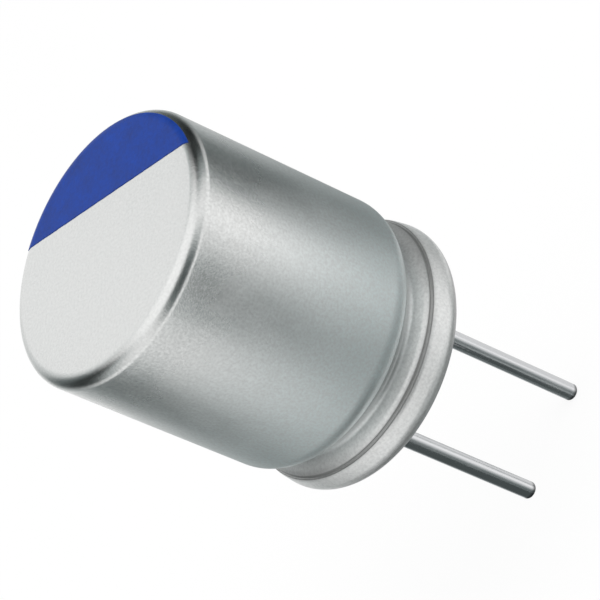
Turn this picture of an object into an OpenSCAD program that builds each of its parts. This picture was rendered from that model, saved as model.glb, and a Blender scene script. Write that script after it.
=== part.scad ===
// Radial aluminium capacitor with a solid polymer element.
// A deep-drawn can is beaded and curled over a rubber bung, and two leads pass through the bung.
// The origin lies on the seating plane, midway between the leads. +Z points to the closed end of the can,
// X runs along the line of the leads, and the marked (negative) side is at -X.

/* [Can] */
// Outside diameter of the can
can_d = 10; // [8:0.5:12.5]
// Height of the can above the seating plane
can_h = 11.85; // [10.5:0.05:16]
// Thickness of the drawn sheet
can_wall = 0.3; // [0.2:0.05:0.35]
// Outside radius of the corner at the closed end
top_corner_r = 0.5; // [0.4:0.05:1]

/* [Bead] */
// Depth of the bead below the side of the can
bead_depth = 0.84; // [0.7:0.01:0.95]
// Outside radius of the shoulder above the bead
shoulder_r = 1.2; // [1:0.05:1.4]
// Radius in the root of the bead
root_r = 0.25; // [0.2:0.05:0.3]
// Slope of the bead's lower flank, measured from the side of the can
flank_angle = 63; // [45:1:65]
// Outside radius of the corner below the bead
lip_corner_r = 0.6; // [0.5:0.01:0.65]
// Radius of the score line that is rolled into that corner
score_r = 0.07; // [0.03:0.01:0.1]
// Slope of the corner where the score line lies
score_angle = 33; // [25:1:40]
// Height of that corner's centre above the seating plane
lip_z = 1.08; // [1:0.02:1.3]
// Angle at which the lip widens towards the curl
lip_flare = 8; // [0:1:12]
// How far the widest part of the lip lies inside the side of the can
lip_inset = 0.05; // [0:0.01:0.1]

/* [Curl] */
// Outside radius of the curled edge
curl_r = 0.7; // [0.6:0.05:0.75]
// Angle that the edge is rolled through
curl_turn = 150; // [140:1:165]
// Width of the ring that the curl stands on
seat_flat = 0.15; // [0.1:0.01:0.25]

/* [Polarity mark] */
// Distance from the can's axis to the straight edge of the mark
mark_offset = 1.9; // [0.5:0.05:3]
// How far the ink runs over the rounded corner, in degrees
mark_wrap = 30; // [0:10:60]
// Thickness of the ink
ink_t = 0.02; // [0.01:0.005:0.05]

/* [Sealing bung] */
// Height of the bung's inner face above the seating plane
bung_top_z = 3.9; // [3.9:0.1:4.4]
// Depth of the bung's outer face behind the seating plane
bung_recess = 0.25; // [0.1:0.05:0.35]
// Bevel round the bung's inner face
bung_bevel = 0.2; // [0.1:0.05:0.3]
// Clearance between the bung and the sheet round it
seal_gap = 0.01; // [0.005:0.005:0.03]

/* [Leads] */
// Distance between the leads
pitch = 5; // [3.5:0.5:5]
// Diameter of the tinned wire
lead_d = 0.65; // [0.5:0.05:0.8]
// Length of the negative lead below the seating plane
cathode_lead_len = 10.25; // [4:0.05:20]
// Length of the positive lead below the seating plane
anode_lead_len = 7.8; // [4:0.05:20]
// Bevel on the cut end of each lead
lead_bevel = 0.12; // [0.05:0.01:0.2]
// Diameter of the weld bead between lead and tab
weld_d = 1; // [0.9:0.05:1.2]
// Height above the seating plane at which the wire starts to swell into the weld bead
weld_z = 0.1; // [0:0.05:0.15]
// Clearance between the weld bead and its hole
weld_gap = 0.03; // [0.01:0.01:0.06]

/* [Tabs] */
// Diameter of the round boss that fills the bung's hole
boss_d = 1.5; // [1.3:0.05:1.7]
// Height of the boss's lower end above the seating plane
boss_z = 1.1; // [0.9:0.05:1.3]
// Width of the flattened blade
blade_w = 2.2; // [1.8:0.1:2.4]
// Thickness of the flattened blade
blade_t = 0.25; // [0.2:0.05:0.4]
// Height over which the boss turns into the blade
blade_taper_h = 0.45; // [0.3:0.05:0.5]
// Distance from the blade's end to the top of the element
blade_short = 0.8; // [0.4:0.1:1.5]

/* [Wound element] */
// Space between the bung and the element
element_lift = 0.5; // [0.4:0.05:0.8]
// Space between the element and the closed end
element_headroom = 0.35; // [0.2:0.05:0.8]
// Clearance between the tape and the can
element_gap = 0.1; // [0.05:0.01:0.2]
// Diameter of the hole that the winding pin leaves
core_d = 1.6; // [1:0.1:2]
// Distance between the turns that show on the ends
turn_pitch = 0.4; // [0.3:0.05:0.6]
// Width and depth of the gap between two turns
turn_gap = 0.1; // [0.05:0.05:0.15]
// Clearance round each blade in the winding
blade_gap = 0.02; // [0.01:0.01:0.05]

/* [Tape] */
// Width of the tape round the element
tape_w = 5; // [3:0.5:6]
// Thickness of the tape
tape_t = 0.06; // [0.04:0.01:0.1]

/* [Hidden] */
$fn = 96;
// Degrees between the points of a rounded outline
arc_step = 10;
// Excess of a cutting tool past the face that it cuts
past = 1;
// Sides of the score line's outline
score_sides = 24;

can_r = can_d / 2;
bore_r = can_r - can_wall;
lead_r = lead_d / 2;
weld_r = weld_d / 2;
lip_r = can_r - lip_inset;
lead_x = pitch / 2;

curl_x = lip_r - curl_r;

// The lip is straight between its corner and the curl.
lip_len = (lip_z - curl_r - (curl_r - lip_corner_r) * sin(lip_flare)) / cos(lip_flare);
lip_x = curl_x + (curl_r - lip_corner_r) * cos(lip_flare) - lip_len * sin(lip_flare);
// The lower flank is straight between the root of the bead and the corner of the lip.
root_x = can_r - bead_depth + root_r;
flank_len = (lip_x - root_x + (lip_corner_r + root_r) * cos(flank_angle)) / sin(flank_angle);
root_z = lip_z + (lip_corner_r + root_r) * sin(flank_angle) + flank_len * cos(flank_angle);
// The shoulder and the root touch at this slope.
bead_slope = acos(1 - bead_depth / (shoulder_r + root_r));
shoulder_z = root_z + (shoulder_r + root_r) * sin(bead_slope);

boss_hole_r = boss_d / 2 + seal_gap;
boss_top_z = bung_top_z;
blade_z = boss_top_z + blade_taper_h;
element_z = bung_top_z + element_lift;
element_top_z = can_h - can_wall - element_headroom;
element_h = element_top_z - element_z;
element_r = bore_r - element_gap - tape_t;
blade_top_z = element_top_z - blade_short;

// Points of an arc in the plane of the profile. Angle 0 points away from the axis, and 90 points up.
function arc(centre, r, from, to) =
    let (steps = max(1, ceil(abs(to - from) / arc_step)))
    [for (i = [0:steps]) let (a = from + (to - from) * i / steps) centre + r * [cos(a), sin(a)]];

function reversed(points) = [for (i = [len(points) - 1:-1:0]) points[i]];

// Each path below runs down the can at a depth under its outer surface,
// so that the two sides of the sheet stay one wall apart round every bend.
function corner_path(depth) =
    arc([can_r - top_corner_r, can_h - top_corner_r], top_corner_r - depth, 90, 0);

function bead_path(depth) = concat(
    arc([can_r - shoulder_r, shoulder_z], shoulder_r - depth, 0, -bead_slope),
    arc([root_x, root_z], root_r + depth, 180 - bead_slope, 180 + flank_angle),
    arc([lip_x, lip_z], lip_corner_r - depth, flank_angle, lip_flare));

function curl_path(depth) = concat(
    arc([curl_x, curl_r], curl_r - depth, lip_flare, -90),
    arc([curl_x - seat_flat, curl_r], curl_r - depth, -90, -curl_turn));

function can_path(depth) =
    concat([[0, can_h - depth]], corner_path(depth), bead_path(depth), curl_path(depth));

// The drawn shell: closed end, side, bead and curled edge in one sheet, scored round the corner of the lip.
module can() {
    color("silver")
        rotate_extrude()
            difference() {
                polygon(concat(can_path(0), reversed(can_path(can_wall))));
                translate([lip_x, lip_z] + lip_corner_r * [cos(score_angle), sin(score_angle)])
                    circle(r = score_r, $fn = score_sides);
            }
}

// The ink follows the closed end and the start of its corner, and ends at a straight edge.
module polarity_mark() {
    corner = [can_r - top_corner_r, can_h - top_corner_r];
    face = arc(corner, top_corner_r, 90, 90 - mark_wrap);
    outside = arc(corner, top_corner_r + ink_t, 90, 90 - mark_wrap);
    color("royalblue")
        intersection() {
            rotate_extrude()
                polygon(concat([[0, can_h + ink_t]], outside, reversed(face), [[0, can_h]]));
            translate([-can_r - past, -can_r - past, can_h - top_corner_r - past])
                cube([can_r + past - mark_offset, 2 * (can_r + past), top_corner_r + 2 * past]);
        }
}

// The rubber fills the bead and the curl, whose edge bites into its outer face.
module bung_body() {
    skin = can_wall + seal_gap;
    edge = [curl_x - seat_flat, curl_r];
    // Clearance past the end of the sheet, as an angle round the curl.
    edge_turn = curl_turn + 2;
    face_turn = 180 - asin((curl_r - bung_recess) / (curl_r + seal_gap));
    rotate_extrude()
        polygon(concat(
            [[0, bung_top_z],
             [bore_r - seal_gap - bung_bevel, bung_top_z],
             [bore_r - seal_gap, bung_top_z - bung_bevel]],
            bead_path(skin),
            arc([curl_x, curl_r], curl_r - skin, lip_flare, -90),
            arc(edge, curl_r - skin, -90, -edge_turn),
            arc(edge, curl_r + seal_gap, -edge_turn, -face_turn),
            [[0, bung_recess]]));
}

// A wide hole for the boss, and a narrower one below it where the weld bead shows in the bung's outer face.
module lead_hole() {
    translate([0, 0, boss_z])
        cylinder(r = boss_hole_r, h = bung_top_z - boss_z + past);
    cylinder(r = weld_r + weld_gap, h = bung_top_z);
}

module sealing_bung() {
    color("dimgray")
        difference() {
            bung_body();
            for (side = [-1, 1])
                translate([side * lead_x, 0, 0])
                    lead_hole();
        }
}

// Gaps between the turns, as they show on an end of the winding.
module turn_rings() {
    last_r = element_r - turn_pitch;
    for (r = [core_d / 2 + turn_pitch:turn_pitch:last_r])
        difference() {
            cylinder(r = r + turn_gap / 2, h = 2 * turn_gap, center = true);
            cylinder(r = r - turn_gap / 2, h = 3 * turn_gap, center = true);
        }
}

// Anode foil, cathode foil and separators, wound into one roll with a slot for each blade.
module wound_element() {
    color("saddlebrown")
        difference() {
            translate([0, 0, element_z])
                cylinder(r = element_r, h = element_h);
            translate([0, 0, element_z - past])
                cylinder(d = core_d, h = element_h + 2 * past);
            for (z = [element_z, element_top_z])
                translate([0, 0, z])
                    turn_rings();
            for (side = [-1, 1])
                translate([side * lead_x - blade_t / 2 - blade_gap, -blade_w / 2 - blade_gap, element_z - past])
                    cube([blade_t + 2 * blade_gap, blade_w + 2 * blade_gap,
                          blade_top_z + blade_gap - element_z + past]);
        }
}

module element_tape() {
    color("goldenrod")
        translate([0, 0, element_z + (element_h - tape_w) / 2])
            difference() {
                cylinder(r = element_r + tape_t, h = tape_w);
                translate([0, 0, -past])
                    cylinder(r = element_r, h = tape_w + 2 * past);
            }
}

// The boss is round in the bung. Above it the wire is pressed into a blade that lies between the turns.
module tab() {
    color("gainsboro") {
        translate([0, 0, boss_z])
            cylinder(d = boss_d, h = boss_top_z - boss_z);
        intersection() {
            translate([0, 0, boss_top_z])
                cylinder(d1 = boss_d, d2 = blade_w, h = blade_taper_h);
            translate([0, blade_w / 2, 0])
                rotate([90, 0, 0])
                    linear_extrude(height = blade_w)
                        polygon([[-boss_d / 2, boss_top_z], [boss_d / 2, boss_top_z],
                                 [blade_t / 2, blade_z], [-blade_t / 2, blade_z]]);
        }
        translate([-blade_t / 2, -blade_w / 2, blade_z])
            cube([blade_t, blade_w, blade_top_z - blade_z]);
    }
}

module anode_tab() {
    translate([lead_x, 0, 0])
        tab();
}

module cathode_tab() {
    translate([-lead_x, 0, 0])
        tab();
}

// Tinned wire with a bevelled end, and the weld bead that joins it to the boss.
module lead(length) {
    color("lightgray")
        rotate_extrude()
            polygon([[0, -length], [lead_r - lead_bevel, -length], [lead_r, lead_bevel - length],
                     [lead_r, weld_z], [weld_r, (weld_z + boss_z) / 2], [weld_r, boss_z], [0, boss_z]]);
}

module anode_lead() {
    translate([lead_x, 0, 0])
        lead(anode_lead_len);
}

module cathode_lead() {
    translate([-lead_x, 0, 0])
        lead(cathode_lead_len);
}

can();
polarity_mark();
sealing_bung();
wound_element();
element_tape();
anode_tab();
cathode_tab();
anode_lead();
cathode_lead();
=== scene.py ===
import math

import bmesh
import bpy
from bpy.props import FloatProperty, FloatVectorProperty, IntProperty, PointerProperty
from bpy.types import Operator, Panel, PropertyGroup
from mathutils import Matrix, Vector


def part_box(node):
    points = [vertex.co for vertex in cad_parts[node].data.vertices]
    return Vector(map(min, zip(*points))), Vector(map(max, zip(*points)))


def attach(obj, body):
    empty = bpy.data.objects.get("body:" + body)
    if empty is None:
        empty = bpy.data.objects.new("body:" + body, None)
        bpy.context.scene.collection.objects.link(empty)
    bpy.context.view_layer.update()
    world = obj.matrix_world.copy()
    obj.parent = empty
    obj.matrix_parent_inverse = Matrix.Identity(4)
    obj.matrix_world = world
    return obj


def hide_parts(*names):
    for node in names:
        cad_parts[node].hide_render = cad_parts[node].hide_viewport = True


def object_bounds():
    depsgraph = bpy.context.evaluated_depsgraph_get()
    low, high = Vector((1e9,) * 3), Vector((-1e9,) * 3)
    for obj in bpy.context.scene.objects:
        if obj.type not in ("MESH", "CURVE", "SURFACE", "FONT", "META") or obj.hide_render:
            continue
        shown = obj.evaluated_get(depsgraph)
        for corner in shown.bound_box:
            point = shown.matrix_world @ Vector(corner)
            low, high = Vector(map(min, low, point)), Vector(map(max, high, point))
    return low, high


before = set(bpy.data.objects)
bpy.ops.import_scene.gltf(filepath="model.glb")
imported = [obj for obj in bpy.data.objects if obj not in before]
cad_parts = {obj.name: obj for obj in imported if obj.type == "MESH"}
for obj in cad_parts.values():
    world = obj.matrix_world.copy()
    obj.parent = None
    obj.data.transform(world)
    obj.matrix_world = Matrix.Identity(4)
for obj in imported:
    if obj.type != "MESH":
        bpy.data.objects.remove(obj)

bl_info = {
    "name": "Radial capacitor finish",
    "version": (1, 0, 0),
    "blender": (4, 5, 0),
    "location": "3D View > Sidebar > Capacitor",
    "description": "Builds the visible surfaces of a radial aluminium capacitor "
                   "round its packed solids",
    "category": "Object",
}

MM = 0.001
BODY = "root"
SIDEBAR_TAB = "Capacitor"

CAD_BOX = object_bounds()
CAN_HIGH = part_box("can")[1]
MARK_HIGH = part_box("polarity_mark")[1]
BUNG_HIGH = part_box("sealing_bung")[1]
ANODE_LOW, ANODE_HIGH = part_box("anode_lead")
CATHODE_LOW, CATHODE_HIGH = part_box("cathode_lead")

# Degrees between the points of a rounded outline.
ARC_STEP = 4.0
# Edges bent by more than this stay crisp.
CRISP_ANGLE = math.radians(32)
# A ring narrower than this is drawn as one point on the axis.
POLE_RADIUS = 1e-7
# Faces round the rubber disc, its holes and a wire.
BUNG_SIDES = 160
HOLE_SIDES = 72
WIRE_SIDES = 64
# Rows of faces on the closed end, on the side of the can, along a wire and on its swell.
END_ROWS = 6
SIDE_ROWS = 10
WIRE_ROWS = 24
SWELL_ROWS = 12

# Faces of the ink along its straight edge and across it.
INK_ALONG = 160
INK_ACROSS = 48
# Height of the ink's underside above the metal, and how close its joined points lie.
INK_GAP = 0.0002 * MM
INK_MERGE = 0.0001 * MM
# Length divided by a full turn, and shift, of the waves in which the printed edge wanders.
INK_WAVES = ((0.31 * MM, 0.0), (0.113 * MM, 1.3))

# Degrees by which the rubber follows the curl past the end of the sheet.
BUNG_EDGE_TURN = 2
# How far the tools that cut the holes reach past the rubber.
CUT_PAST = MM
# The cut end of a wire has a shallow ring, at a share of the radius of its flat.
CUT_RING_DEPTH = 0.01 * MM
CUT_RING_SHARE = 0.6
# Where the rounded edge of a cut end starts. At -90 degrees it would touch the flat.
CUT_ARC_START = -80

# Noise of the metals: features a metre in the grain and in the drawing lines, and the lines' share.
CAN_GRAIN = (17000.0, 7000.0, 0.3)
TIN_GRAIN = (11000.0, 9000.0, 1.0)
TAB_GRAIN = (7000.0, 5200.0, 0.8)
# Noise of the other surfaces: fine and coarse features a metre.
INK_SPECKLE = (7000.0, 1100.0)
RUBBER_SPECKLE = (6500.0, 900.0)
WINDING_SPECKLE = (5000.0, 800.0)
TAPE_SPECKLE = (4000.0, 600.0)
FLOOR_SPECKLE = (900.0, 90.0)
MOTTLE_SCALE = 700.0
RIPPLE_SCALE = 1500.0
# How much each noise is pulled out along X, Y and Z.
LINE_STRETCH = (1, 1, 0.03)
MOTTLE_STRETCH = (1, 1, 0.5)
RIPPLE_STRETCH = (0.1, 0.1, 1.0)
# Most values of a noise, and of a mean of two, lie between these.
NOISE_SPAN = (0.3, 0.7)
MEAN_SPAN = (0.35, 0.65)
# Height of each surface's relief.
INK_RELIEF = 0.0022 * MM
RUBBER_RELIEF = 0.012 * MM
TIN_RELIEF = 0.002 * MM
TAB_RELIEF = 0.004 * MM
WINDING_RELIEF = 0.01 * MM
TAPE_RELIEF = 0.008 * MM
# Darkest and brightest tone of each surface, as factors of its colour.
CAN_TONES = (0.93, 1.05)
INK_TONES = (0.76, 1.22)
WIRE_TONES = (0.9, 1.04)
TAPE_TONES = (0.85, 1.12)
BLOOM_TONE = 2.4
PAPER_TONE = 2.6
SOAKED_TONE = 0.5
# How far the roughness strays from its setting.
CAN_STRAY = (-0.05, 0.05)
INK_STRAY = (-0.05, 0.06)
RUBBER_STRAY = (-0.06, 0.1)
TIN_STRAY = (-0.05, 0.08)
# Lowest and highest roughness of the surfaces that the can hides.
TAB_ROUGHNESS = (0.32, 0.46)
WINDING_ROUGHNESS = (0.55, 0.8)
TAPE_ROUGHNESS = (0.28, 0.4)

# Finish of the can by height above the seating plane, or by depth below the closed end.
# Of each pair, the change starts at the first and is complete at the second.
SMOOTH_DEPTH = 1.0 * MM
DULL_HEIGHT = 3.6 * MM
FADE_DEPTH = 2.0 * MM
FADED_HEIGHT = 4.0 * MM
SPECKLE_DEPTHS = (0.1 * MM, 0.6 * MM)
ROLLED_HEIGHTS = (3.1 * MM, 2.5 * MM)
LIP_HEIGHTS = (2.1 * MM, 1.6 * MM)
# Painted shade on the lower edge of the curl, from none at the first height to full at the second.
CURL_SHADE_HEIGHTS = (0.62 * MM, 0.44 * MM)
# The same for the painted shade in the root of the bead, by height above the corner below the bead.
ROOT_SHADE_STARTS = (0.19 * MM, 0.31 * MM)
ROOT_SHADE_ENDS = (0.6 * MM, 0.85 * MM)
# Distance from the score line at which its painted shade fades, in its radii, and that of the
# wider, fainter painted shade round it.
SCORE_SHADE_FADES = (0.7, 1.6)
SCORE_HALO_SHADE_FADES = (0.05 * MM, 0.27 * MM)
# Strength of each painted shade on the can, and the tone of a full one.
SCORE_SHADE_STRENGTH = 0.72
SCORE_HALO_SHADE_STRENGTH = 0.18
ROOT_SHADE_STRENGTH = 0.55
CURL_SHADE_STRENGTH = 0.48
PAINTED_SHADE_TONE = 0.22
# Strength of the speckle on the closed end and on the side, and its tone.
SPECKLE_STRENGTHS = (0.25, 0.6)
SPECKLE_TONE = 0.7
# The bead keeps this share of the grain's relief and is metallic to this share.
ROLLED_RELIEF = 0.3
ROLLED_METALLIC = 0.7

# Painted dark reflection on the cut end of a wire: where it fades in bevels above the cut, its
# strength and tone.
TIP_SHADE_FADES = (0.9, 2.2)
TIP_SHADE_STRENGTH = 0.85
TIP_SHADE_TONE = 0.16
# Width of a foil and its paper in the winding, and where the paper starts in it.
TURN_WIDTH = 0.1 * MM
PAPER_START = (0.45, 0.6)

# What the studio shows at each bearing from its front, as grey levels of 255: pale cards with
# darker gaps. The low row lies below the horizon, the middle row above it.
LOW_LEVELS = (
    (-180, 250), (-160, 244), (-142, 190), (-125, 118), (-105, 96), (-88, 132), (-72, 198),
    (-55, 216), (-36, 205), (-16, 138), (0, 92), (16, 136), (36, 212), (55, 255), (72, 232),
    (88, 134), (105, 76), (125, 102), (150, 186), (166, 206), (180, 250))
MIDDLE_LEVELS = (
    (-180, 240), (-160, 205), (-142, 100), (-125, 36), (-107, 54), (-90, 176), (-72, 222),
    (-55, 236), (-36, 222), (-20, 110), (0, 62), (20, 108), (36, 196), (55, 240), (72, 226),
    (90, 144), (107, 38), (128, 28), (148, 76), (165, 172), (180, 240))
OVERHEAD_LEVEL = 249
FRONT_STRIP_LEVEL = 244
NADIR_LEVEL = 134
# Grey turns cooler below the first level, and fully so by the second number further down.
COOL_FROM, COOL_OVER = 225, 130
# How much that takes from the red and gives to the rest.
COOL_RED, COOL_REST = -0.14, 0.02

# Elevations in degrees at which the studio changes, each from nothing to full.
MIDDLE_RISES = (-24, 3)
OVERHEAD_RISES = (40, 66)
NADIR_RISES = (-44, -60)
STRIP_BOTTOM = (-31, -22)
STRIP_TOP = (-2, -12)
# Bearings in degrees from the studio's front between which the strip fades out.
STRIP_ENDS = (70, 145)

# Each lamp: bearing from the studio's front and elevation in degrees, and width in metres.
LAMPS = {"key_lamp": (62, 58, 0.16), "fill_lamp": (-70, 48, 0.18)}
LAMP_DISTANCE = 0.2
# Each card beside the leads: its place in X and Y, the bearing that its back faces in degrees,
# half its width and its grey level.
CARDS = {
    "dark_card": ((8.6 * MM, -1.4 * MM), -9, 6.5 * MM, 78),
    "pale_card": ((-8.2 * MM, 2.0 * MM), 161, 6.0 * MM, 220),
}
CARD_BOTTOM, CARD_TOP = -25 * MM, -3 * MM
CARD_STRIPS = 8
# A card is bent round the leads, at its ends by this share of half its width.
CARD_BEND = 0.08

FLOOR_CELLS = 24
FLOOR_GAP = 0.01 * MM
FLOOR_SHADES = (0.93, 0.95)
# Strength of the floor's own white, and how much of it shows.
FLOOR_GLOW = 1.02
FLOOR_WHITE = 0.88

SENSOR_WIDTH = 36.0
CLIP_RANGE = (0.002, 10.0)


def size_value(name, description, default, high=0.1):
    """A length in metres that the sidebar shows and a user may change."""
    return FloatProperty(name=name, description=description, default=default, min=0.0, max=high,
                         subtype="DISTANCE", unit="LENGTH", precision=6)


def angle_value(name, description, degrees):
    return FloatProperty(name=name, description=description, default=math.radians(degrees),
                         subtype="ANGLE", unit="ROTATION")


def share_value(name, description, default):
    return FloatProperty(name=name, description=description, default=default, min=0.0, max=1.0,
                         subtype="FACTOR")


def colour_value(name, description, default):
    return FloatVectorProperty(name=name, description=description, default=default, size=3,
                               min=0.0, max=1.0, subtype="COLOR")


def power_value(name, description, default):
    return FloatProperty(name=name, description=description, default=default,
                         subtype="POWER", unit="POWER")


class CanSettings(PropertyGroup):
    """Sizes and finish of the drawn can."""
    radius: size_value("Radius", "Outside radius of the can", CAN_HIGH.x)
    height: size_value("Height", "Height of the closed end above the seating plane", CAN_HIGH.z)
    wall: size_value("Sheet", "Thickness of the drawn sheet", 0.3 * MM)
    corner: size_value("Corner", "Outside radius of the corner at the closed end", 0.5 * MM)
    bead_depth: size_value("Bead depth", "Depth of the bead below the side", 0.84 * MM)
    shoulder: size_value("Shoulder", "Outside radius of the shoulder above the bead", 1.2 * MM)
    root: size_value("Root", "Radius in the root of the bead", 0.25 * MM)
    flank: angle_value("Flank", "Slope of the bead's lower flank from the side", 63)
    lip_corner: size_value("Lip corner", "Outside radius of the corner below the bead", 0.6 * MM)
    score: size_value("Score line", "Radius of the line rolled into that corner", 0.07 * MM)
    score_slope: angle_value("Score slope", "Slope of the corner where the score line lies", 33)
    lip_height: size_value("Lip height", "Height of the centre of that corner", 1.08 * MM)
    lip_flare: angle_value("Lip flare", "Angle at which the lip widens towards the curl", 8)
    lip_inset: size_value("Lip inset", "How far the widest part of the lip lies inside the side",
                          0.05 * MM)
    curl: size_value("Curl", "Outside radius of the curled edge", 0.7 * MM)
    curl_turn: angle_value("Curl turn", "Angle that the edge is rolled through", 150)
    seat: size_value("Seat", "Width of the ring that the curl stands on", 0.15 * MM)
    segments: IntProperty(name="Segments", description="Sides round the can",
                          default=240, min=48, max=400)
    colour: colour_value("Colour", "Colour of the bare aluminium", (0.925, 0.935, 0.925))
    faded: colour_value("Faded colour", "Colour of the side just above the bead",
                        (0.735, 0.81, 0.81))
    smooth: share_value("Roughness at the top", "Roughness near the closed end", 0.22)
    dull: share_value("Roughness above the bead", "Roughness where the side meets the bead", 0.5)
    rolled: share_value("Roughness of the bead",
                        "Roughness of the bead and the lip, which the rollers burnish", 0.34)
    grain: size_value("Grain", "Height of the satin grain", 0.0045 * MM)


class MarkSettings(PropertyGroup):
    """Sizes and finish of the printed polarity mark."""
    offset: size_value("Offset", "Distance from the axis to the straight edge", -MARK_HIGH.x)
    wrap: angle_value("Wrap", "How far the ink runs over the rounded corner", 30)
    thickness: size_value("Thickness", "Thickness of the ink", MARK_HIGH.z - CAN_HIGH.z)
    ragged: size_value("Ragged edge", "How far the printed edge wanders", 0.008 * MM)
    colour: colour_value("Colour", "Colour of the ink", (0.005, 0.045, 0.31))
    roughness: share_value("Roughness", "Roughness of the dried ink", 0.38)


class BungSettings(PropertyGroup):
    """Sizes and finish of the rubber bung."""
    top: size_value("Inner face", "Height of the inner face", BUNG_HIGH.z)
    recess: size_value("Recess", "Depth of the outer face behind the seating plane", 0.25 * MM)
    bevel: size_value("Bevel", "Bevel round the inner face", 0.2 * MM)
    gap: size_value("Gap", "Clearance between the rubber and the sheet", 0.01 * MM)
    hole: size_value("Hole", "Radius of the hole in the outer face", 0.53 * MM)
    boss_hole: size_value("Boss hole", "Radius of the hole round the boss", 0.76 * MM)
    boss_height: size_value("Boss height", "Height where the hole widens", 1.1 * MM)
    colour: colour_value("Colour", "Colour of the rubber", (0.028, 0.028, 0.031))
    roughness: share_value("Roughness", "Roughness of the moulded face", 0.62)


class LeadSettings(PropertyGroup):
    """Sizes and finish of the two tinned wires."""
    radius: size_value("Radius", "Radius of the wire", 0.325 * MM)
    bevel: size_value("Bevel", "Bevel on the cut end", 0.12 * MM)
    weld_radius: size_value("Weld radius", "Radius of the weld bead", ANODE_HIGH.y)
    weld_height: size_value("Weld height", "Height where the wire starts to swell", 0.1 * MM)
    colour: colour_value("Colour", "Colour of the bright tin", (0.86, 0.865, 0.88))
    roughness: share_value("Roughness", "Roughness of the bright tin", 0.2)


class InsideSettings(PropertyGroup):
    """Finish of the parts that the can hides."""
    winding: colour_value("Winding", "Colour of the foil and paper turns", (0.075, 0.062, 0.05))
    tape: colour_value("Tape", "Colour of the tape round the winding", (0.52, 0.36, 0.12))
    tab: colour_value("Tab", "Colour of the pressed aluminium tabs", (0.87, 0.88, 0.89))


class StageSettings(PropertyGroup):
    """Camera, floor and light."""
    camera_place: FloatVectorProperty(
        name="Camera", description="Place of the camera", size=3,
        default=(59.55 * MM, 75.10 * MM, 68.37 * MM), subtype="TRANSLATION", unit="LENGTH")
    camera_right: FloatVectorProperty(
        name="Right", description="Direction to the right of the picture", size=3,
        default=(0.00595, 0.65264, -0.75765), subtype="DIRECTION")
    camera_up: FloatVectorProperty(
        name="Up", description="Direction to the top of the picture", size=3,
        default=(-0.85307, 0.39864, 0.33668), subtype="DIRECTION")
    lens: FloatProperty(name="Lens", description="Focal length in millimetres", default=200.06)
    ambient: share_value("Ambient", "Level of the light from all sides", 0.62)
    key: power_value("Key lamp", "Power of the large lamp", 0.16)
    fill: power_value("Fill lamp", "Power of the second lamp", 0.06)
    floor_size: size_value("Floor", "Half the width of the floor", 0.6, high=2.0)
    studio_bearing: angle_value("Studio bearing",
                                "Compass direction that the studio's front faces", 51)


def arc(centre, radius, start, end):
    """Points (radius, height) of an arc. Angle 0 points away from the axis, and 90 degrees up."""
    steps = max(1, math.ceil(abs(end - start) / ARC_STEP))
    angles = [math.radians(start + (end - start) * i / steps) for i in range(steps + 1)]
    return [(centre[0] + radius * math.cos(a), centre[1] + radius * math.sin(a)) for a in angles]


def line(start, end, steps):
    """Points from start towards end, without the end itself."""
    return [(start[0] + (end[0] - start[0]) * i / steps, start[1] + (end[1] - start[1]) * i / steps)
            for i in range(steps)]


def bead_path(can, depth):
    """The outline from the shoulder to the lip, at a depth under the sheet's outer surface."""
    curl_r = can.radius - can.lip_inset - can.curl
    less = can.curl - can.lip_corner
    bends = can.lip_corner + can.root
    lip_len = ((can.lip_height - can.curl - less * math.sin(can.lip_flare))
               / math.cos(can.lip_flare))
    lip_r = curl_r + less * math.cos(can.lip_flare) - lip_len * math.sin(can.lip_flare)
    root_r = can.radius - can.bead_depth + can.root
    flank_len = (lip_r - root_r + bends * math.cos(can.flank)) / math.sin(can.flank)
    root_z = can.lip_height + bends * math.sin(can.flank) + flank_len * math.cos(can.flank)
    slope = math.acos(1 - can.bead_depth / (can.shoulder + can.root))
    shoulder = (can.radius - can.shoulder, root_z + (can.shoulder + can.root) * math.sin(slope))
    turn = math.degrees(slope)
    flank = math.degrees(can.flank)
    return (arc(shoulder, can.shoulder - depth, 0, -turn)
            + arc((root_r, root_z), can.root + depth, 180 - turn, 180 + flank)
            + lip_corner_path(can, (lip_r, can.lip_height), depth))


def lip_corner_path(can, centre, depth):
    """The corner below the bead. Its outer side carries the score line."""
    flank = math.degrees(can.flank)
    flare = math.degrees(can.lip_flare)
    if depth > 0:
        return arc(centre, can.lip_corner - depth, flank, flare)
    slope = math.degrees(can.score_slope)
    half = math.degrees(2 * math.asin(can.score / (2 * can.lip_corner)))
    middle = arc(centre, can.lip_corner, slope, slope)[0]
    hollow = arc(middle, can.score, slope + 90 + half / 2, slope + 270 - half / 2)
    return (arc(centre, can.lip_corner, flank, slope + half)[:-1]
            + hollow
            + arc(centre, can.lip_corner, slope - half, flare)[1:])


def curl_path(can, depth, edge_turn):
    """The outline of the curl, from the lip to an angle past the ring that it stands on."""
    curl_r = can.radius - can.lip_inset - can.curl
    return (arc((curl_r, can.curl), can.curl - depth, math.degrees(can.lip_flare), -90)
            + arc((curl_r - can.seat, can.curl), can.curl - depth, -90, -edge_turn))


def can_path(can, depth):
    """One side of the sheet, from the axis at the closed end to the curled edge."""
    centre = (can.radius - can.corner, can.height - can.corner)
    rounded = arc(centre, can.corner - depth, 90, 0)
    bead = bead_path(can, depth)
    return (line((0, can.height - depth), rounded[0], END_ROWS)
            + rounded[:-1]
            + line(rounded[-1], bead[0], SIDE_ROWS)
            + bead
            + curl_path(can, depth, math.degrees(can.curl_turn)))


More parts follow.
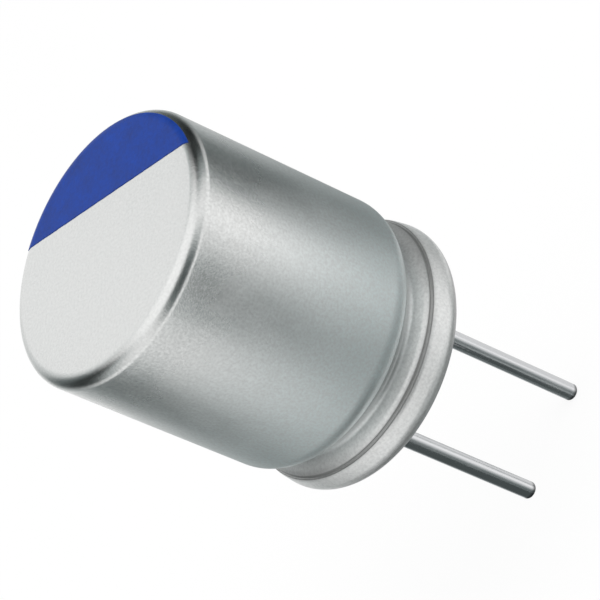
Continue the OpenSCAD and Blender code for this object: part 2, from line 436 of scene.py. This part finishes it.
def revolved(outline, sides, centre=0.0):
    """A body turned about a vertical axis at X = centre, from points (radius, height)."""
    shape = bmesh.new()
    turns = [2 * math.pi * i / sides for i in range(sides)]
    rings = []
    for radius, height in outline:
        if radius < POLE_RADIUS:
            points = [(centre, 0, height)]
        else:
            points = [(centre + radius * math.cos(a), radius * math.sin(a), height) for a in turns]
        rings.append([shape.verts.new(point) for point in points])
    for above, below in zip(rings, rings[1:]):
        for i in range(sides):
            j = (i + 1) % sides
            corners = [above[i % len(above)], below[i % len(below)],
                       below[j % len(below)], above[j % len(above)]]
            shape.faces.new(list(dict.fromkeys(corners)))
    bmesh.ops.remove_doubles(shape, verts=shape.verts, dist=POLE_RADIUS)
    bmesh.ops.recalc_face_normals(shape, faces=shape.faces)
    return shape


def to_object(name, shape):
    """A smooth-shaded object in the scene, made from a shape that is then freed."""
    mesh = bpy.data.meshes.new(name)
    shape.to_mesh(mesh)
    shape.free()
    for face in mesh.polygons:
        face.use_smooth = True
    mesh.set_sharp_from_angle(angle=CRISP_ANGLE)
    made = bpy.data.objects.new(name, mesh)
    bpy.context.scene.collection.objects.link(made)
    return made


def add_piece(name, shape, material, slot, *nodes):
    """Adds a finished mesh that stands for its CAD nodes."""
    made = to_object(name, shape)
    made.data.materials.append(material)
    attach(made, BODY)
    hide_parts(*nodes)


def dress_node(node, material):
    """A CAD node keeps its mesh and takes a better material."""
    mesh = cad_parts[node].data
    mesh.materials.clear()
    mesh.materials.append(material)


def add_node(tree, kind, sockets=None, **settings):
    """A node with its settings. A socket is given a value, or the output that feeds it."""
    made = tree.nodes.new(kind)
    for key, value in settings.items():
        setattr(made, key, value)
    for key, value in (sockets or {}).items():
        if isinstance(value, bpy.types.NodeSocket):
            tree.links.new(value, made.inputs[key])
        else:
            made.inputs[key].default_value = value
    return made


def maths(tree, operation, first, second=0.0):
    return add_node(tree, "ShaderNodeMath", {0: first, 1: second}, operation=operation).outputs[0]


def strongest(tree, first, *others):
    """The highest of several values."""
    for other in others:
        first = maths(tree, "MAXIMUM", first, other)
    return first


def ranged(tree, value, low, high, to_low, to_high, smooth=False):
    """The value carried from one range to another, held at both ends."""
    return add_node(tree, "ShaderNodeMapRange",
                    {"Value": value, "From Min": low, "From Max": high,
                     "To Min": to_low, "To Max": to_high},
                    interpolation_type="SMOOTHSTEP" if smooth else "LINEAR").outputs["Result"]


def scaled_noise(tree, place, scale, stretch=(1, 1, 1), detail=3.0, rough=0.5):
    """Noise at so many features a metre, pulled out along an axis by a small factor there."""
    pulled = add_node(tree, "ShaderNodeVectorMath", {0: place, 1: stretch},
                      operation="MULTIPLY").outputs[0]
    return add_node(tree, "ShaderNodeTexNoise",
                    {"Vector": pulled, "Scale": scale, "Detail": detail,
                     "Roughness": rough}).outputs["Fac"]


def mixed_colour(tree, share, first, second):
    return add_node(tree, "ShaderNodeMix", {0: share, 6: first, 7: second},
                    data_type="RGBA", blend_type="MIX").outputs[2]


def bumped(tree, height, distance):
    return add_node(tree, "ShaderNodeBump",
                    {"Strength": 1.0, "Distance": distance, "Height": height}).outputs["Normal"]


def opaque(colour):
    return (*colour, 1.0)


def grey(level):
    return (level, level, level, 1.0)


def tinted(colour, factor):
    return opaque([min(1.0, c * factor) for c in colour])


def varied(tree, share, colour, tones):
    """A colour that runs from its darkest to its brightest tone."""
    dark, bright = tones
    return mixed_colour(tree, share, tinted(colour, dark), tinted(colour, bright))


def strayed(tree, share, roughness, stray):
    """A roughness that strays a little to both sides of its setting."""
    return ranged(tree, share, 0, 1, *(roughness + part for part in stray))


def new_group(name, inputs, outputs):
    """A shader node group with number sockets, and the outputs of its input node."""
    group = bpy.data.node_groups.new(name, "ShaderNodeTree")
    sockets = group.interface
    sockets.new_socket("Place", in_out="INPUT", socket_type="NodeSocketVector")
    for key, default in inputs.items():
        given = sockets.new_socket(key, in_out="INPUT", socket_type="NodeSocketFloat")
        given.default_value = default
    for key in outputs:
        sockets.new_socket(key, in_out="OUTPUT", socket_type="NodeSocketFloat")
    return group, add_node(group, "NodeGroupInput").outputs


def metal_grain_group():
    """Satin grain, drawing lines along Z and soft mottle of a cold-worked metal surface."""
    group, given = new_group("metal_grain",
                             {"Grain Scale": 9000.0, "Line Scale": 5000.0, "Lines": 0.3},
                             ["Height", "Mottle", "Speckle"])
    place = given["Place"]
    fine = scaled_noise(group, place, given["Grain Scale"], detail=4.0, rough=0.62)
    lines = scaled_noise(group, place, given["Line Scale"], LINE_STRETCH)
    height = maths(group, "ADD", fine, maths(group, "MULTIPLY", lines, given["Lines"]))
    mottle = scaled_noise(group, place, MOTTLE_SCALE, MOTTLE_STRETCH, detail=4.0, rough=0.6)
    speckle_scale = maths(group, "MULTIPLY", given["Grain Scale"], 0.6)
    spots = scaled_noise(group, place, speckle_scale, detail=2.0)
    speckle = ranged(group, spots, *NOISE_SPAN, 0.0, 1.0)
    add_node(group, "NodeGroupOutput", {"Height": height, "Mottle": mottle, "Speckle": speckle})
    return group


def soft_speckle_group():
    """Fine unevenness of rubber, ink, paper and tape."""
    group, given = new_group("soft_speckle", {"Fine Scale": 9000.0, "Coarse Scale": 1400.0},
                             ["Height", "Shade"])
    place = given["Place"]
    fine = scaled_noise(group, place, given["Fine Scale"], detail=5.0, rough=0.6)
    coarse = scaled_noise(group, place, given["Coarse Scale"])
    height = maths(group, "ADD", fine, maths(group, "MULTIPLY", coarse, 0.6))
    mean = maths(group, "MULTIPLY", maths(group, "ADD", fine, coarse), 0.5)
    shade = ranged(group, mean, *MEAN_SPAN, 0.0, 1.0)
    add_node(group, "NodeGroupOutput", {"Height": height, "Shade": shade})
    return group


def metal_grain(tree, place, scales):
    """The outputs of the metal grain at these scales. The group is built once."""
    group = bpy.data.node_groups.get("metal_grain") or metal_grain_group()
    grain_scale, line_scale, lines = scales
    return add_node(tree, "ShaderNodeGroup",
                    {"Place": place, "Grain Scale": grain_scale, "Line Scale": line_scale,
                     "Lines": lines}, node_tree=group).outputs


def soft_speckle(tree, place, scales):
    """The outputs of the soft speckle at these scales. The group is built once."""
    group = bpy.data.node_groups.get("soft_speckle") or soft_speckle_group()
    fine_scale, coarse_scale = scales
    return add_node(tree, "ShaderNodeGroup",
                    {"Place": place, "Fine Scale": fine_scale, "Coarse Scale": coarse_scale},
                    node_tree=group).outputs


def empty_tree(owner):
    """The node tree of a material or of the world, with nothing in it."""
    owner.use_nodes = True
    owner.node_tree.nodes.clear()
    return owner.node_tree


def new_material(name):
    """A material with its empty tree, and the row frame's coordinates."""
    made = bpy.data.materials.new(name)
    tree = empty_tree(made)
    return made, tree, add_node(tree, "ShaderNodeTexCoord").outputs["Object"]


def add_surface(tree, sockets):
    """Ends a material in a Principled shader with these values and links."""
    shader = add_node(tree, "ShaderNodeBsdfPrincipled", sockets)
    add_node(tree, "ShaderNodeOutputMaterial", {"Surface": shader.outputs["BSDF"]})


def can_painted_shade(tree, can, height):
    """Painted shade in the score line and round it, in the root of the bead and on the lower edge
    of the curl.
    """
    score_z = can.lip_height + can.lip_corner * math.sin(can.score_slope)
    # Painted shade in the score line and a fainter, wider painted shade round it.
    from_score = maths(tree, "ABSOLUTE", maths(tree, "SUBTRACT", height, score_z))
    near, far = (share * can.score for share in SCORE_SHADE_FADES)
    score_shade = ranged(tree, from_score, near, far, SCORE_SHADE_STRENGTH, 0.0, smooth=True)
    score_halo_shade = ranged(tree, from_score, *SCORE_HALO_SHADE_FADES, SCORE_HALO_SHADE_STRENGTH, 0.0, smooth=True)
    # Painted shade in the root of the bead, between the corner below it and the shoulder.
    corner_z = can.lip_height + can.lip_corner * math.sin(can.flank)
    root_low, root_full = (corner_z + z for z in ROOT_SHADE_STARTS)
    root_shade = ranged(tree, height, root_low, root_full, 0.0, ROOT_SHADE_STRENGTH, smooth=True)
    root_fade, root_end = (corner_z + z for z in ROOT_SHADE_ENDS)
    under = ranged(tree, height, root_fade, root_end, 1.0, 0.0, smooth=True)
    # Painted shade on the lower edge of the curl.
    curl_shade = ranged(tree, height, *CURL_SHADE_HEIGHTS, 0.0, CURL_SHADE_STRENGTH, smooth=True)
    return strongest(tree, score_shade, score_halo_shade, maths(tree, "MULTIPLY", root_shade, under), curl_shade)


def aluminium_material(can):
    """Satin drawn aluminium, brighter at the closed end and duller towards the bead."""
    made, tree, place = new_material("satin_aluminium")
    grain = metal_grain(tree, place, CAN_GRAIN)
    height = add_node(tree, "ShaderNodeSeparateXYZ", {0: place}).outputs["Z"]
    rolled = ranged(tree, height, *ROLLED_HEIGHTS, 0.0, 1.0, smooth=True)

    drawn = ranged(tree, height, can.height - SMOOTH_DEPTH, DULL_HEIGHT, can.smooth, can.dull)
    satin = add_node(tree, "ShaderNodeMix", {0: rolled, 2: drawn, 3: can.rolled},
                     data_type="FLOAT").outputs[0]
    uneven = ranged(tree, grain["Mottle"], *NOISE_SPAN, *CAN_STRAY)

    worn = varied(tree, grain["Mottle"], can.colour, CAN_TONES)
    below = ranged(tree, height, can.height - FADE_DEPTH, FADED_HEIGHT, 0.0, 1.0)
    lip = ranged(tree, height, *LIP_HEIGHTS, 0.0, 1.0, smooth=True)
    faded = mixed_colour(tree, maths(tree, "SUBTRACT", below, lip), worn, opaque(can.faded))
    start, end = (can.height - depth for depth in SPECKLE_DEPTHS)
    spots = maths(tree, "MULTIPLY", grain["Speckle"],
                  ranged(tree, height, start, end, *SPECKLE_STRENGTHS))
    speckled = mixed_colour(tree, spots, faded, tinted(can.colour, SPECKLE_TONE))
    # The painted shade darkens the colour in the score line, the root of the bead and the lower
    # edge of the curl.
    shade = mixed_colour(tree, can_painted_shade(tree, can, height), speckled,
                         tinted(can.colour, PAINTED_SHADE_TONE))

    relief = maths(tree, "MULTIPLY", grain["Height"],
                   ranged(tree, rolled, 0.0, 1.0, 1.0, ROLLED_RELIEF))
    add_surface(tree, {"Base Color": shade,
                       "Roughness": maths(tree, "ADD", satin, uneven),
                       "Metallic": ranged(tree, rolled, 0.0, 1.0, 1.0, ROLLED_METALLIC),
                       "Normal": bumped(tree, relief, can.grain)})
    return made


def ink_material(mark):
    """Blue printing ink with a faintly uneven film."""
    made, tree, place = new_material("blue_ink")
    film = soft_speckle(tree, place, INK_SPECKLE)
    add_surface(tree, {"Base Color": varied(tree, film["Shade"], mark.colour, INK_TONES),
                       "Roughness": strayed(tree, film["Shade"], mark.roughness, INK_STRAY),
                       "Specular IOR Level": 0.2,
                       "Normal": bumped(tree, film["Height"], INK_RELIEF)})
    return made


def rubber_material(bung):
    """Matt black moulded rubber with a little bloom."""
    made, tree, place = new_material("black_rubber")
    skin = soft_speckle(tree, place, RUBBER_SPECKLE)
    bloom = maths(tree, "MULTIPLY", skin["Shade"], 0.35)
    shade = mixed_colour(tree, bloom, opaque(bung.colour), tinted(bung.colour, BLOOM_TONE))
    add_surface(tree, {"Base Color": shade,
                       "Roughness": strayed(tree, skin["Shade"], bung.roughness, RUBBER_STRAY),
                       "Specular IOR Level": 0.45,
                       "Normal": bumped(tree, skin["Height"], RUBBER_RELIEF)})
    return made


def tin_material(lead):
    """Bright tinned wire with fine drawing lines. Its end is darkened with a painted dark
    reflection.
    """
    made, tree, place = new_material("bright_tin")
    grain = metal_grain(tree, place, TIN_GRAIN)
    wire = varied(tree, grain["Mottle"], lead.colour, WIRE_TONES)
    parts = add_node(tree, "ShaderNodeSeparateXYZ", {0: place}).outputs
    positive = maths(tree, "GREATER_THAN", parts["X"], 0.0)
    end = ranged(tree, positive, 0.0, 1.0, CATHODE_LOW.z, ANODE_LOW.z)
    # Painted dark reflection round the cut end of each wire.
    near, far = (share * lead.bevel for share in TIP_SHADE_FADES)
    tip_shade = ranged(tree, maths(tree, "SUBTRACT", parts["Z"], end), near, far,
                     TIP_SHADE_STRENGTH, 0.0, smooth=True)
    rough = (lead.roughness + part for part in TIN_STRAY)
    add_surface(tree, {"Base Color": mixed_colour(tree, tip_shade, wire,
                                                  tinted(lead.colour, TIP_SHADE_TONE)),
                       "Roughness": ranged(tree, grain["Mottle"], *NOISE_SPAN, *rough),
                       "Metallic": 1.0,
                       "Normal": bumped(tree, grain["Height"], TIN_RELIEF)})
    return made


def tab_material(inside):
    """Bare pressed aluminium of the tabs."""
    made, tree, place = new_material("pressed_aluminium")
    grain = metal_grain(tree, place, TAB_GRAIN)
    add_surface(tree, {"Base Color": varied(tree, grain["Mottle"], inside.tab, WIRE_TONES),
                       "Roughness": ranged(tree, grain["Mottle"], *NOISE_SPAN, *TAB_ROUGHNESS),
                       "Metallic": 1.0,
                       "Normal": bumped(tree, grain["Height"], TAB_RELIEF)})
    return made


def winding_material(inside):
    """Edges of foil and paper turns, soaked with dark polymer."""
    made, tree, place = new_material("foil_winding")
    soaked = soft_speckle(tree, place, WINDING_SPECKLE)
    parts = add_node(tree, "ShaderNodeSeparateXYZ", {0: place}).outputs
    squares = [maths(tree, "MULTIPLY", parts[axis], parts[axis]) for axis in "XY"]
    from_axis = maths(tree, "SQRT", maths(tree, "ADD", *squares))
    turns = maths(tree, "FRACT", maths(tree, "MULTIPLY", from_axis, 1 / TURN_WIDTH))
    paper = ranged(tree, turns, *PAPER_START, 0.0, 1.0)
    layered = mixed_colour(tree, maths(tree, "MULTIPLY", paper, 0.6), opaque(inside.winding),
                           tinted(inside.winding, PAPER_TONE))
    shade = mixed_colour(tree, maths(tree, "MULTIPLY", soaked["Shade"], 0.4), layered,
                         tinted(inside.winding, SOAKED_TONE))
    relief = maths(tree, "ADD", soaked["Height"], paper)
    add_surface(tree, {"Base Color": shade,
                       "Roughness": ranged(tree, soaked["Shade"], 0, 1, *WINDING_ROUGHNESS),
                       "Normal": bumped(tree, relief, WINDING_RELIEF)})
    return made


def tape_material(inside):
    """Thin amber tape with faint ripples round the roll."""
    made, tree, place = new_material("amber_tape")
    film = soft_speckle(tree, place, TAPE_SPECKLE)
    ripple = scaled_noise(tree, place, RIPPLE_SCALE, RIPPLE_STRETCH, detail=2.0)
    relief = maths(tree, "ADD", film["Height"], ripple)
    add_surface(tree, {"Base Color": varied(tree, film["Shade"], inside.tape, TAPE_TONES),
                       "Roughness": ranged(tree, film["Shade"], 0, 1, *TAPE_ROUGHNESS),
                       "Normal": bumped(tree, relief, TAPE_RELIEF)})
    return made


class CAPACITOR_OT_can(Operator):
    """Builds the drawn, beaded and curled can."""
    bl_idname = "capacitor.can"
    bl_label = "Can"

    def execute(self, context):
        can = context.scene.capacitor_can
        outline = can_path(can, 0.0) + can_path(can, can.wall)[::-1]
        add_piece("can_shell", revolved(outline, can.segments), aluminium_material(can),
                  "can_aluminium", "can")
        return {"FINISHED"}


class CAPACITOR_OT_mark(Operator):
    """Builds the printed polarity mark, which follows the closed end and its corner."""
    bl_idname = "capacitor.mark"
    bl_label = "Polarity mark"

    def execute(self, context):
        can = context.scene.capacitor_can
        mark = context.scene.capacitor_mark
        flat_r = can.radius - can.corner
        reach = flat_r + (can.corner + mark.thickness) * math.sin(mark.wrap)
        half = math.sqrt(reach ** 2 - mark.offset ** 2)

        def lifted(x, y, film):
            """The point of the closed end or its corner at X and Y, raised by the film."""
            radius = math.hypot(x, y)
            if radius <= flat_r:
                return (x, y, can.height + film)
            drop = math.sqrt(max(0.0, (can.corner + film) ** 2 - (radius - flat_r) ** 2))
            return (x, y, can.height - can.corner + drop)

        shape = bmesh.new()
        sheets = []
        for film in (mark.thickness, INK_GAP):
            sheet = []
            for i in range(INK_ALONG + 1):
                y = -half * math.cos(math.pi * i / INK_ALONG)
                wander = mark.ragged * sum(0.5 * math.sin(y / length + shift)
                                           for length, shift in INK_WAVES)
                far = -math.sqrt(max(0.0, reach ** 2 - y ** 2))
                near = max(-mark.offset - abs(wander), far)
                sheet.append([shape.verts.new(lifted(near + (far - near) * j / INK_ACROSS, y, film))
                              for j in range(INK_ACROSS + 1)])
            sheets.append(sheet)
        for sheet in sheets:
            for row, after in zip(sheet, sheet[1:]):
                for j in range(INK_ACROSS):
                    shape.faces.new([row[j], row[j + 1], after[j + 1], after[j]])
        upper, lower = sheets
        for i in range(INK_ALONG):
            for j in (0, INK_ACROSS):
                shape.faces.new([upper[i][j], upper[i + 1][j], lower[i + 1][j], lower[i][j]])
        bmesh.ops.remove_doubles(shape, verts=shape.verts, dist=INK_MERGE)
        bmesh.ops.recalc_face_normals(shape, faces=shape.faces)
        add_piece("mark_print", shape, ink_material(mark), "mark_ink", "polarity_mark")
        return {"FINISHED"}


class CAPACITOR_OT_bung(Operator):
    """Builds the rubber bung with its two stepped holes."""
    bl_idname = "capacitor.bung"
    bl_label = "Sealing bung"

    def execute(self, context):
        can = context.scene.capacitor_can
        bung = context.scene.capacitor_bung
        skin = can.wall + bung.gap
        bore = can.radius - skin
        edge = (can.radius - can.lip_inset - can.curl - can.seat, can.curl)
        bite = can.curl + bung.gap
        turn = math.degrees(can.curl_turn) + BUNG_EDGE_TURN
        face_turn = 180 - math.degrees(math.asin((can.curl - bung.recess) / bite))
        outline = ([(0.0, bung.top), (bore - bung.bevel, bung.top), (bore, bung.top - bung.bevel)]
                   + bead_path(can, skin)
                   + curl_path(can, skin, turn)
                   + arc(edge, bite, -turn, -face_turn)
                   + [(0.0, bung.recess)])
        body = to_object("bung_disc", revolved(outline, BUNG_SIDES))
        over = bung.top + CUT_PAST
        tool = [(0.0, over), (bung.boss_hole, over), (bung.boss_hole, bung.boss_height),
                (bung.hole, bung.boss_height), (bung.hole, -CUT_PAST), (0.0, -CUT_PAST)]
        cutters = []
        for low in (ANODE_LOW, CATHODE_LOW):
            centre = low.x + context.scene.capacitor_lead.radius
            cutter = to_object("hole_cutter", revolved(tool, HOLE_SIDES, centre=centre))
            cutters.append(cutter)
            cut = body.modifiers.new("hole", "BOOLEAN")
            cut.object = cutter
            cut.operation = "DIFFERENCE"
            cut.solver = "EXACT"
        evaluated = body.evaluated_get(context.evaluated_depsgraph_get())
        shape = bmesh.new()
        shape.from_mesh(evaluated.to_mesh())
        evaluated.to_mesh_clear()
        for spent in [body, *cutters]:
            bpy.data.objects.remove(spent)
        add_piece("bung_rubber_disc", shape, rubber_material(bung), "bung_rubber", "sealing_bung")
        return {"FINISHED"}


class CAPACITOR_OT_leads(Operator):
    """Builds the two tinned wires with their cut ends and weld beads."""
    bl_idname = "capacitor.leads"
    bl_label = "Leads"

    def execute(self, context):
        lead = context.scene.capacitor_lead
        tin = tin_material(lead)
        for name, node, low, high in (("anode_wire", "anode_lead", ANODE_LOW, ANODE_HIGH),
                                      ("cathode_wire", "cathode_lead", CATHODE_LOW, CATHODE_HIGH)):
            swell = []
            for i in range(SWELL_ROWS + 1):
                share = i / SWELL_ROWS
                # The swell starts softly and never passes the solid's straight cone.
                eased = min(share * share * (3 - 2 * share), share)
                rise = lead.weld_height + (high.z - lead.weld_height) / 2 * share
                swell.append((lead.radius + (lead.weld_radius - lead.radius) * eased, rise))
            corner = (lead.radius - lead.bevel, low.z + lead.bevel)
            outline = ([(0.0, low.z), (CUT_RING_SHARE * corner[0], low.z + CUT_RING_DEPTH)]
                       + arc(corner, lead.bevel, CUT_ARC_START, 0)
                       + line((lead.radius, corner[1]), (lead.radius, lead.weld_height), WIRE_ROWS)
                       + swell
                       + [(lead.weld_radius, high.z), (0.0, high.z)])
            shape = revolved(outline, WIRE_SIDES, centre=(low.x + high.x) / 2)
            add_piece(name, shape, tin, "lead_tin", node)
        return {"FINISHED"}


class CAPACITOR_OT_inside(Operator):
    """Finishes the winding, its tape and the tabs, which the can hides."""
    bl_idname = "capacitor.inside"
    bl_label = "Parts inside"

    def execute(self, context):
        inside = context.scene.capacitor_inside
        dress_node("wound_element", winding_material(inside))
        dress_node("element_tape", tape_material(inside))
        tab = tab_material(inside)
        dress_node("anode_tab", tab)
        dress_node("cathode_tab", tab)
        return {"FINISHED"}


def grey_level(level):
    """Linear colour of a grey level of 255. The darker cards are a little cooler."""
    share = level / 255
    linear = share / 12.92 if share <= 0.04045 else ((share + 0.055) / 1.055) ** 2.4
    cool = min(1.0, max(0.0, (COOL_FROM - level) / COOL_OVER))
    rest = linear * (1 + COOL_REST * cool)
    return (linear * (1 + COOL_RED * cool), rest, rest, 1.0)


def level_ramp(tree, share, levels):
    """A colour ramp round the compass through grey levels at given bearings."""
    ramp = add_node(tree, "ShaderNodeValToRGB", {"Fac": share})
    ramp.color_ramp.interpolation = "EASE"
    stops = ramp.color_ramp.elements
    stops.remove(stops[-1])
    for i, (degrees, level) in enumerate(levels):
        position = (degrees + 180) / 360
        stop = stops[0] if i == 0 else stops.new(position)
        stop.position = position
        stop.color = grey_level(level)
    return ramp.outputs["Color"]


def height_share(tree, height, elevations):
    """From 0 to 1 between two elevations in degrees, by the vertical part of the direction."""
    low, high = (math.sin(math.radians(e)) for e in elevations)
    return ranged(tree, height, low, high, 0.0, 1.0, smooth=True)


def studio_surroundings(stage):
    """White for the camera, pale cards with darker gaps for reflections, and even light."""
    world = bpy.data.worlds.new("studio")
    tree = empty_tree(world)
    direction = add_node(tree, "ShaderNodeTexCoord").outputs["Generated"]
    turned = add_node(tree, "ShaderNodeVectorRotate",
                      {"Vector": direction, "Angle": -stage.studio_bearing},
                      rotation_type="Z_AXIS").outputs["Vector"]
    parts = add_node(tree, "ShaderNodeSeparateXYZ", {0: turned}).outputs
    bearing = maths(tree, "ARCTAN2", parts["Y"], parts["X"])
    share = ranged(tree, bearing, -math.pi, math.pi, 0.0, 1.0)
    height = parts["Z"]
    rows = [level_ramp(tree, share, levels) for levels in (LOW_LEVELS, MIDDLE_LEVELS)]
    cards = mixed_colour(tree, height_share(tree, height, MIDDLE_RISES), *rows)
    # A pale strip in front, just below the horizon.
    near, far = (math.radians(degrees) for degrees in STRIP_ENDS)
    ahead = ranged(tree, maths(tree, "ABSOLUTE", bearing), near, far, 1.0, 0.0, smooth=True)
    strip = maths(tree, "MULTIPLY", height_share(tree, height, STRIP_BOTTOM),
                  height_share(tree, height, STRIP_TOP))
    for cover, level in ((maths(tree, "MULTIPLY", ahead, strip), FRONT_STRIP_LEVEL),
                         (height_share(tree, height, OVERHEAD_RISES), OVERHEAD_LEVEL),
                         (height_share(tree, height, NADIR_RISES), NADIR_LEVEL)):
        cards = mixed_colour(tree, cover, cards, grey_level(level))
    rays = add_node(tree, "ShaderNodeLightPath").outputs
    mirrored = strongest(tree, rays["Is Glossy Ray"], rays["Is Transmission Ray"])
    lit = mixed_colour(tree, mirrored, grey(stage.ambient), cards)
    seen = mixed_colour(tree, rays["Is Camera Ray"], lit, grey(1.0))
    background = add_node(tree, "ShaderNodeBackground", {"Color": seen}).outputs["Background"]
    add_node(tree, "ShaderNodeOutputWorld", {"Surface": background})
    bpy.context.scene.world = world


def floor_material():
    """Pale floor: white for the camera with a faint shadow, open from below."""
    made, tree, place = new_material("pale_floor")
    speckle = soft_speckle(tree, place, FLOOR_SPECKLE)
    shade = mixed_colour(tree, speckle["Shade"], *(grey(level) for level in FLOOR_SHADES))
    matt = add_node(tree, "ShaderNodeBsdfDiffuse", {"Color": shade}).outputs["BSDF"]
    white = add_node(tree, "ShaderNodeEmission", {"Strength": FLOOR_GLOW}).outputs["Emission"]
    rays = add_node(tree, "ShaderNodeLightPath").outputs
    seen = strongest(tree, *(rays[f"Is {kind} Ray"]
                             for kind in ("Camera", "Glossy", "Transmission")))
    whiteness = maths(tree, "MULTIPLY", seen, FLOOR_WHITE)
    upper = add_node(tree, "ShaderNodeMixShader", {0: whiteness, 1: matt, 2: white})
    clear = add_node(tree, "ShaderNodeBsdfTransparent").outputs["BSDF"]
    below = add_node(tree, "ShaderNodeNewGeometry").outputs["Backfacing"]
    surface = add_node(tree, "ShaderNodeMixShader",
                       {0: below, 1: upper.outputs["Shader"], 2: clear}).outputs["Shader"]
    add_node(tree, "ShaderNodeOutputMaterial", {"Surface": surface})
    return made


def add_floor(stage):
    """A wide floor just under the longer lead."""
    shape = bmesh.new()
    bmesh.ops.create_grid(shape, x_segments=FLOOR_CELLS, y_segments=FLOOR_CELLS,
                          size=stage.floor_size)
    floor = to_object("floor", shape)
    floor.location.z = CAD_BOX[0].z - FLOOR_GAP
    floor.data.materials.append(floor_material())
    floor.visible_glossy = False


def add_card(name, centre, bearing, half_width, level):
    """An upright card that only reflections show. Its back faces the bearing."""
    made = bpy.data.materials.new(name)
    tree = empty_tree(made)
    glow = add_node(tree, "ShaderNodeEmission", {"Color": grey_level(level)}).outputs["Emission"]
    add_node(tree, "ShaderNodeOutputMaterial", {"Surface": glow})
    shape = bmesh.new()
    edges = []
    for i in range(CARD_STRIPS + 1):
        side = half_width * (2 * i / CARD_STRIPS - 1)
        bend = -CARD_BEND * side * side / half_width
        edges.append([shape.verts.new((bend, side, z)) for z in (CARD_BOTTOM, CARD_TOP)])
    for first, second in zip(edges, edges[1:]):
        shape.faces.new([first[0], second[0], second[1], first[1]])
    card = to_object(name, shape)
    card.location = (centre[0], centre[1], 0)
    card.rotation_euler.z = bearing
    card.data.materials.append(made)
    for kind in ("camera", "diffuse", "shadow", "transmission", "volume_scatter"):
        setattr(card, "visible_" + kind, False)


def add_lamp(name, bearing, elevation, width, power):
    """A large square lamp that looks at the middle of the object."""
    light = bpy.data.lights.new(name, "AREA")
    light.shape = "SQUARE"
    light.size = width
    light.energy = power
    lamp = bpy.data.objects.new(name, light)
    bpy.context.scene.collection.objects.link(lamp)
    back = Vector((math.cos(bearing) * math.cos(elevation), math.sin(bearing) * math.cos(elevation),
                   math.sin(elevation)))
    lamp.location = back * LAMP_DISTANCE
    lamp.rotation_mode = "QUATERNION"
    lamp.rotation_quaternion = (-back).to_track_quat("-Z", "Y")
    # The pale cards of the surroundings stand for the lamps in reflections.
    lamp.visible_glossy = False


def add_camera(scene, stage):
    """The camera of the photograph's view."""
    lens = bpy.data.cameras.new("photo_camera")
    lens.lens = stage.lens
    lens.sensor_width = SENSOR_WIDTH
    lens.clip_start, lens.clip_end = CLIP_RANGE
    camera = bpy.data.objects.new("photo_camera", lens)
    scene.collection.objects.link(camera)
    right = Vector(stage.camera_right)
    up = Vector(stage.camera_up)
    turn = Matrix((right, up, right.cross(up))).transposed()
    camera.matrix_world = Matrix.Translation(Vector(stage.camera_place)) @ turn.to_4x4()
    scene.camera = camera


class CAPACITOR_OT_stage(Operator):
    """Sets the camera, the floor, the lamps and the surroundings."""
    bl_idname = "capacitor.stage"
    bl_label = "Stage"

    def execute(self, context):
        scene = context.scene
        stage = scene.capacitor_stage
        scene.view_settings.view_transform = "Standard"
        add_camera(scene, stage)
        add_floor(stage)
        powers = {"key_lamp": stage.key, "fill_lamp": stage.fill}
        for name, (bearing, elevation, width) in LAMPS.items():
            add_lamp(name, stage.studio_bearing + math.radians(bearing), math.radians(elevation),
                     width, powers[name])
        for name, (centre, bearing, half_width, level) in CARDS.items():
            add_card(name, centre, math.radians(bearing), half_width, level)
        studio_surroundings(stage)
        return {"FINISHED"}


PIECE_OPERATORS = (CAPACITOR_OT_can, CAPACITOR_OT_mark, CAPACITOR_OT_bung, CAPACITOR_OT_leads,
                   CAPACITOR_OT_inside, CAPACITOR_OT_stage)
SETTINGS = (("capacitor_can", CanSettings), ("capacitor_mark", MarkSettings),
            ("capacitor_bung", BungSettings), ("capacitor_lead", LeadSettings),
            ("capacitor_inside", InsideSettings), ("capacitor_stage", StageSettings))


class CAPACITOR_PT_panel(Panel):
    """Lists the steps that dress the capacitor."""
    bl_idname = "CAPACITOR_PT_panel"
    bl_label = "Capacitor finish"
    bl_space_type = "VIEW_3D"
    bl_region_type = "UI"
    bl_category = SIDEBAR_TAB

    def draw(self, context):
        for operator in PIECE_OPERATORS:
            self.layout.operator(operator.bl_idname)
        for key, group in SETTINGS:
            box = self.layout.box()
            box.label(text=group.__doc__)
            for value in group.__annotations__:
                box.prop(getattr(context.scene, key), value)


def register():
    for key, group in SETTINGS:
        bpy.utils.register_class(group)
        setattr(bpy.types.Scene, key, PointerProperty(type=group))
    for made in (*PIECE_OPERATORS, CAPACITOR_PT_panel):
        bpy.utils.register_class(made)


def unregister():
    for made in (CAPACITOR_PT_panel, *reversed(PIECE_OPERATORS)):
        bpy.utils.unregister_class(made)
    for key, group in reversed(SETTINGS):
        delattr(bpy.types.Scene, key)
        bpy.utils.unregister_class(group)


def main():
    register()
    bpy.ops.capacitor.stage()
    bpy.ops.capacitor.can()
    bpy.ops.capacitor.mark()
    bpy.ops.capacitor.bung()
    bpy.ops.capacitor.leads()
    bpy.ops.capacitor.inside()


if __name__ == "__main__":
    main()
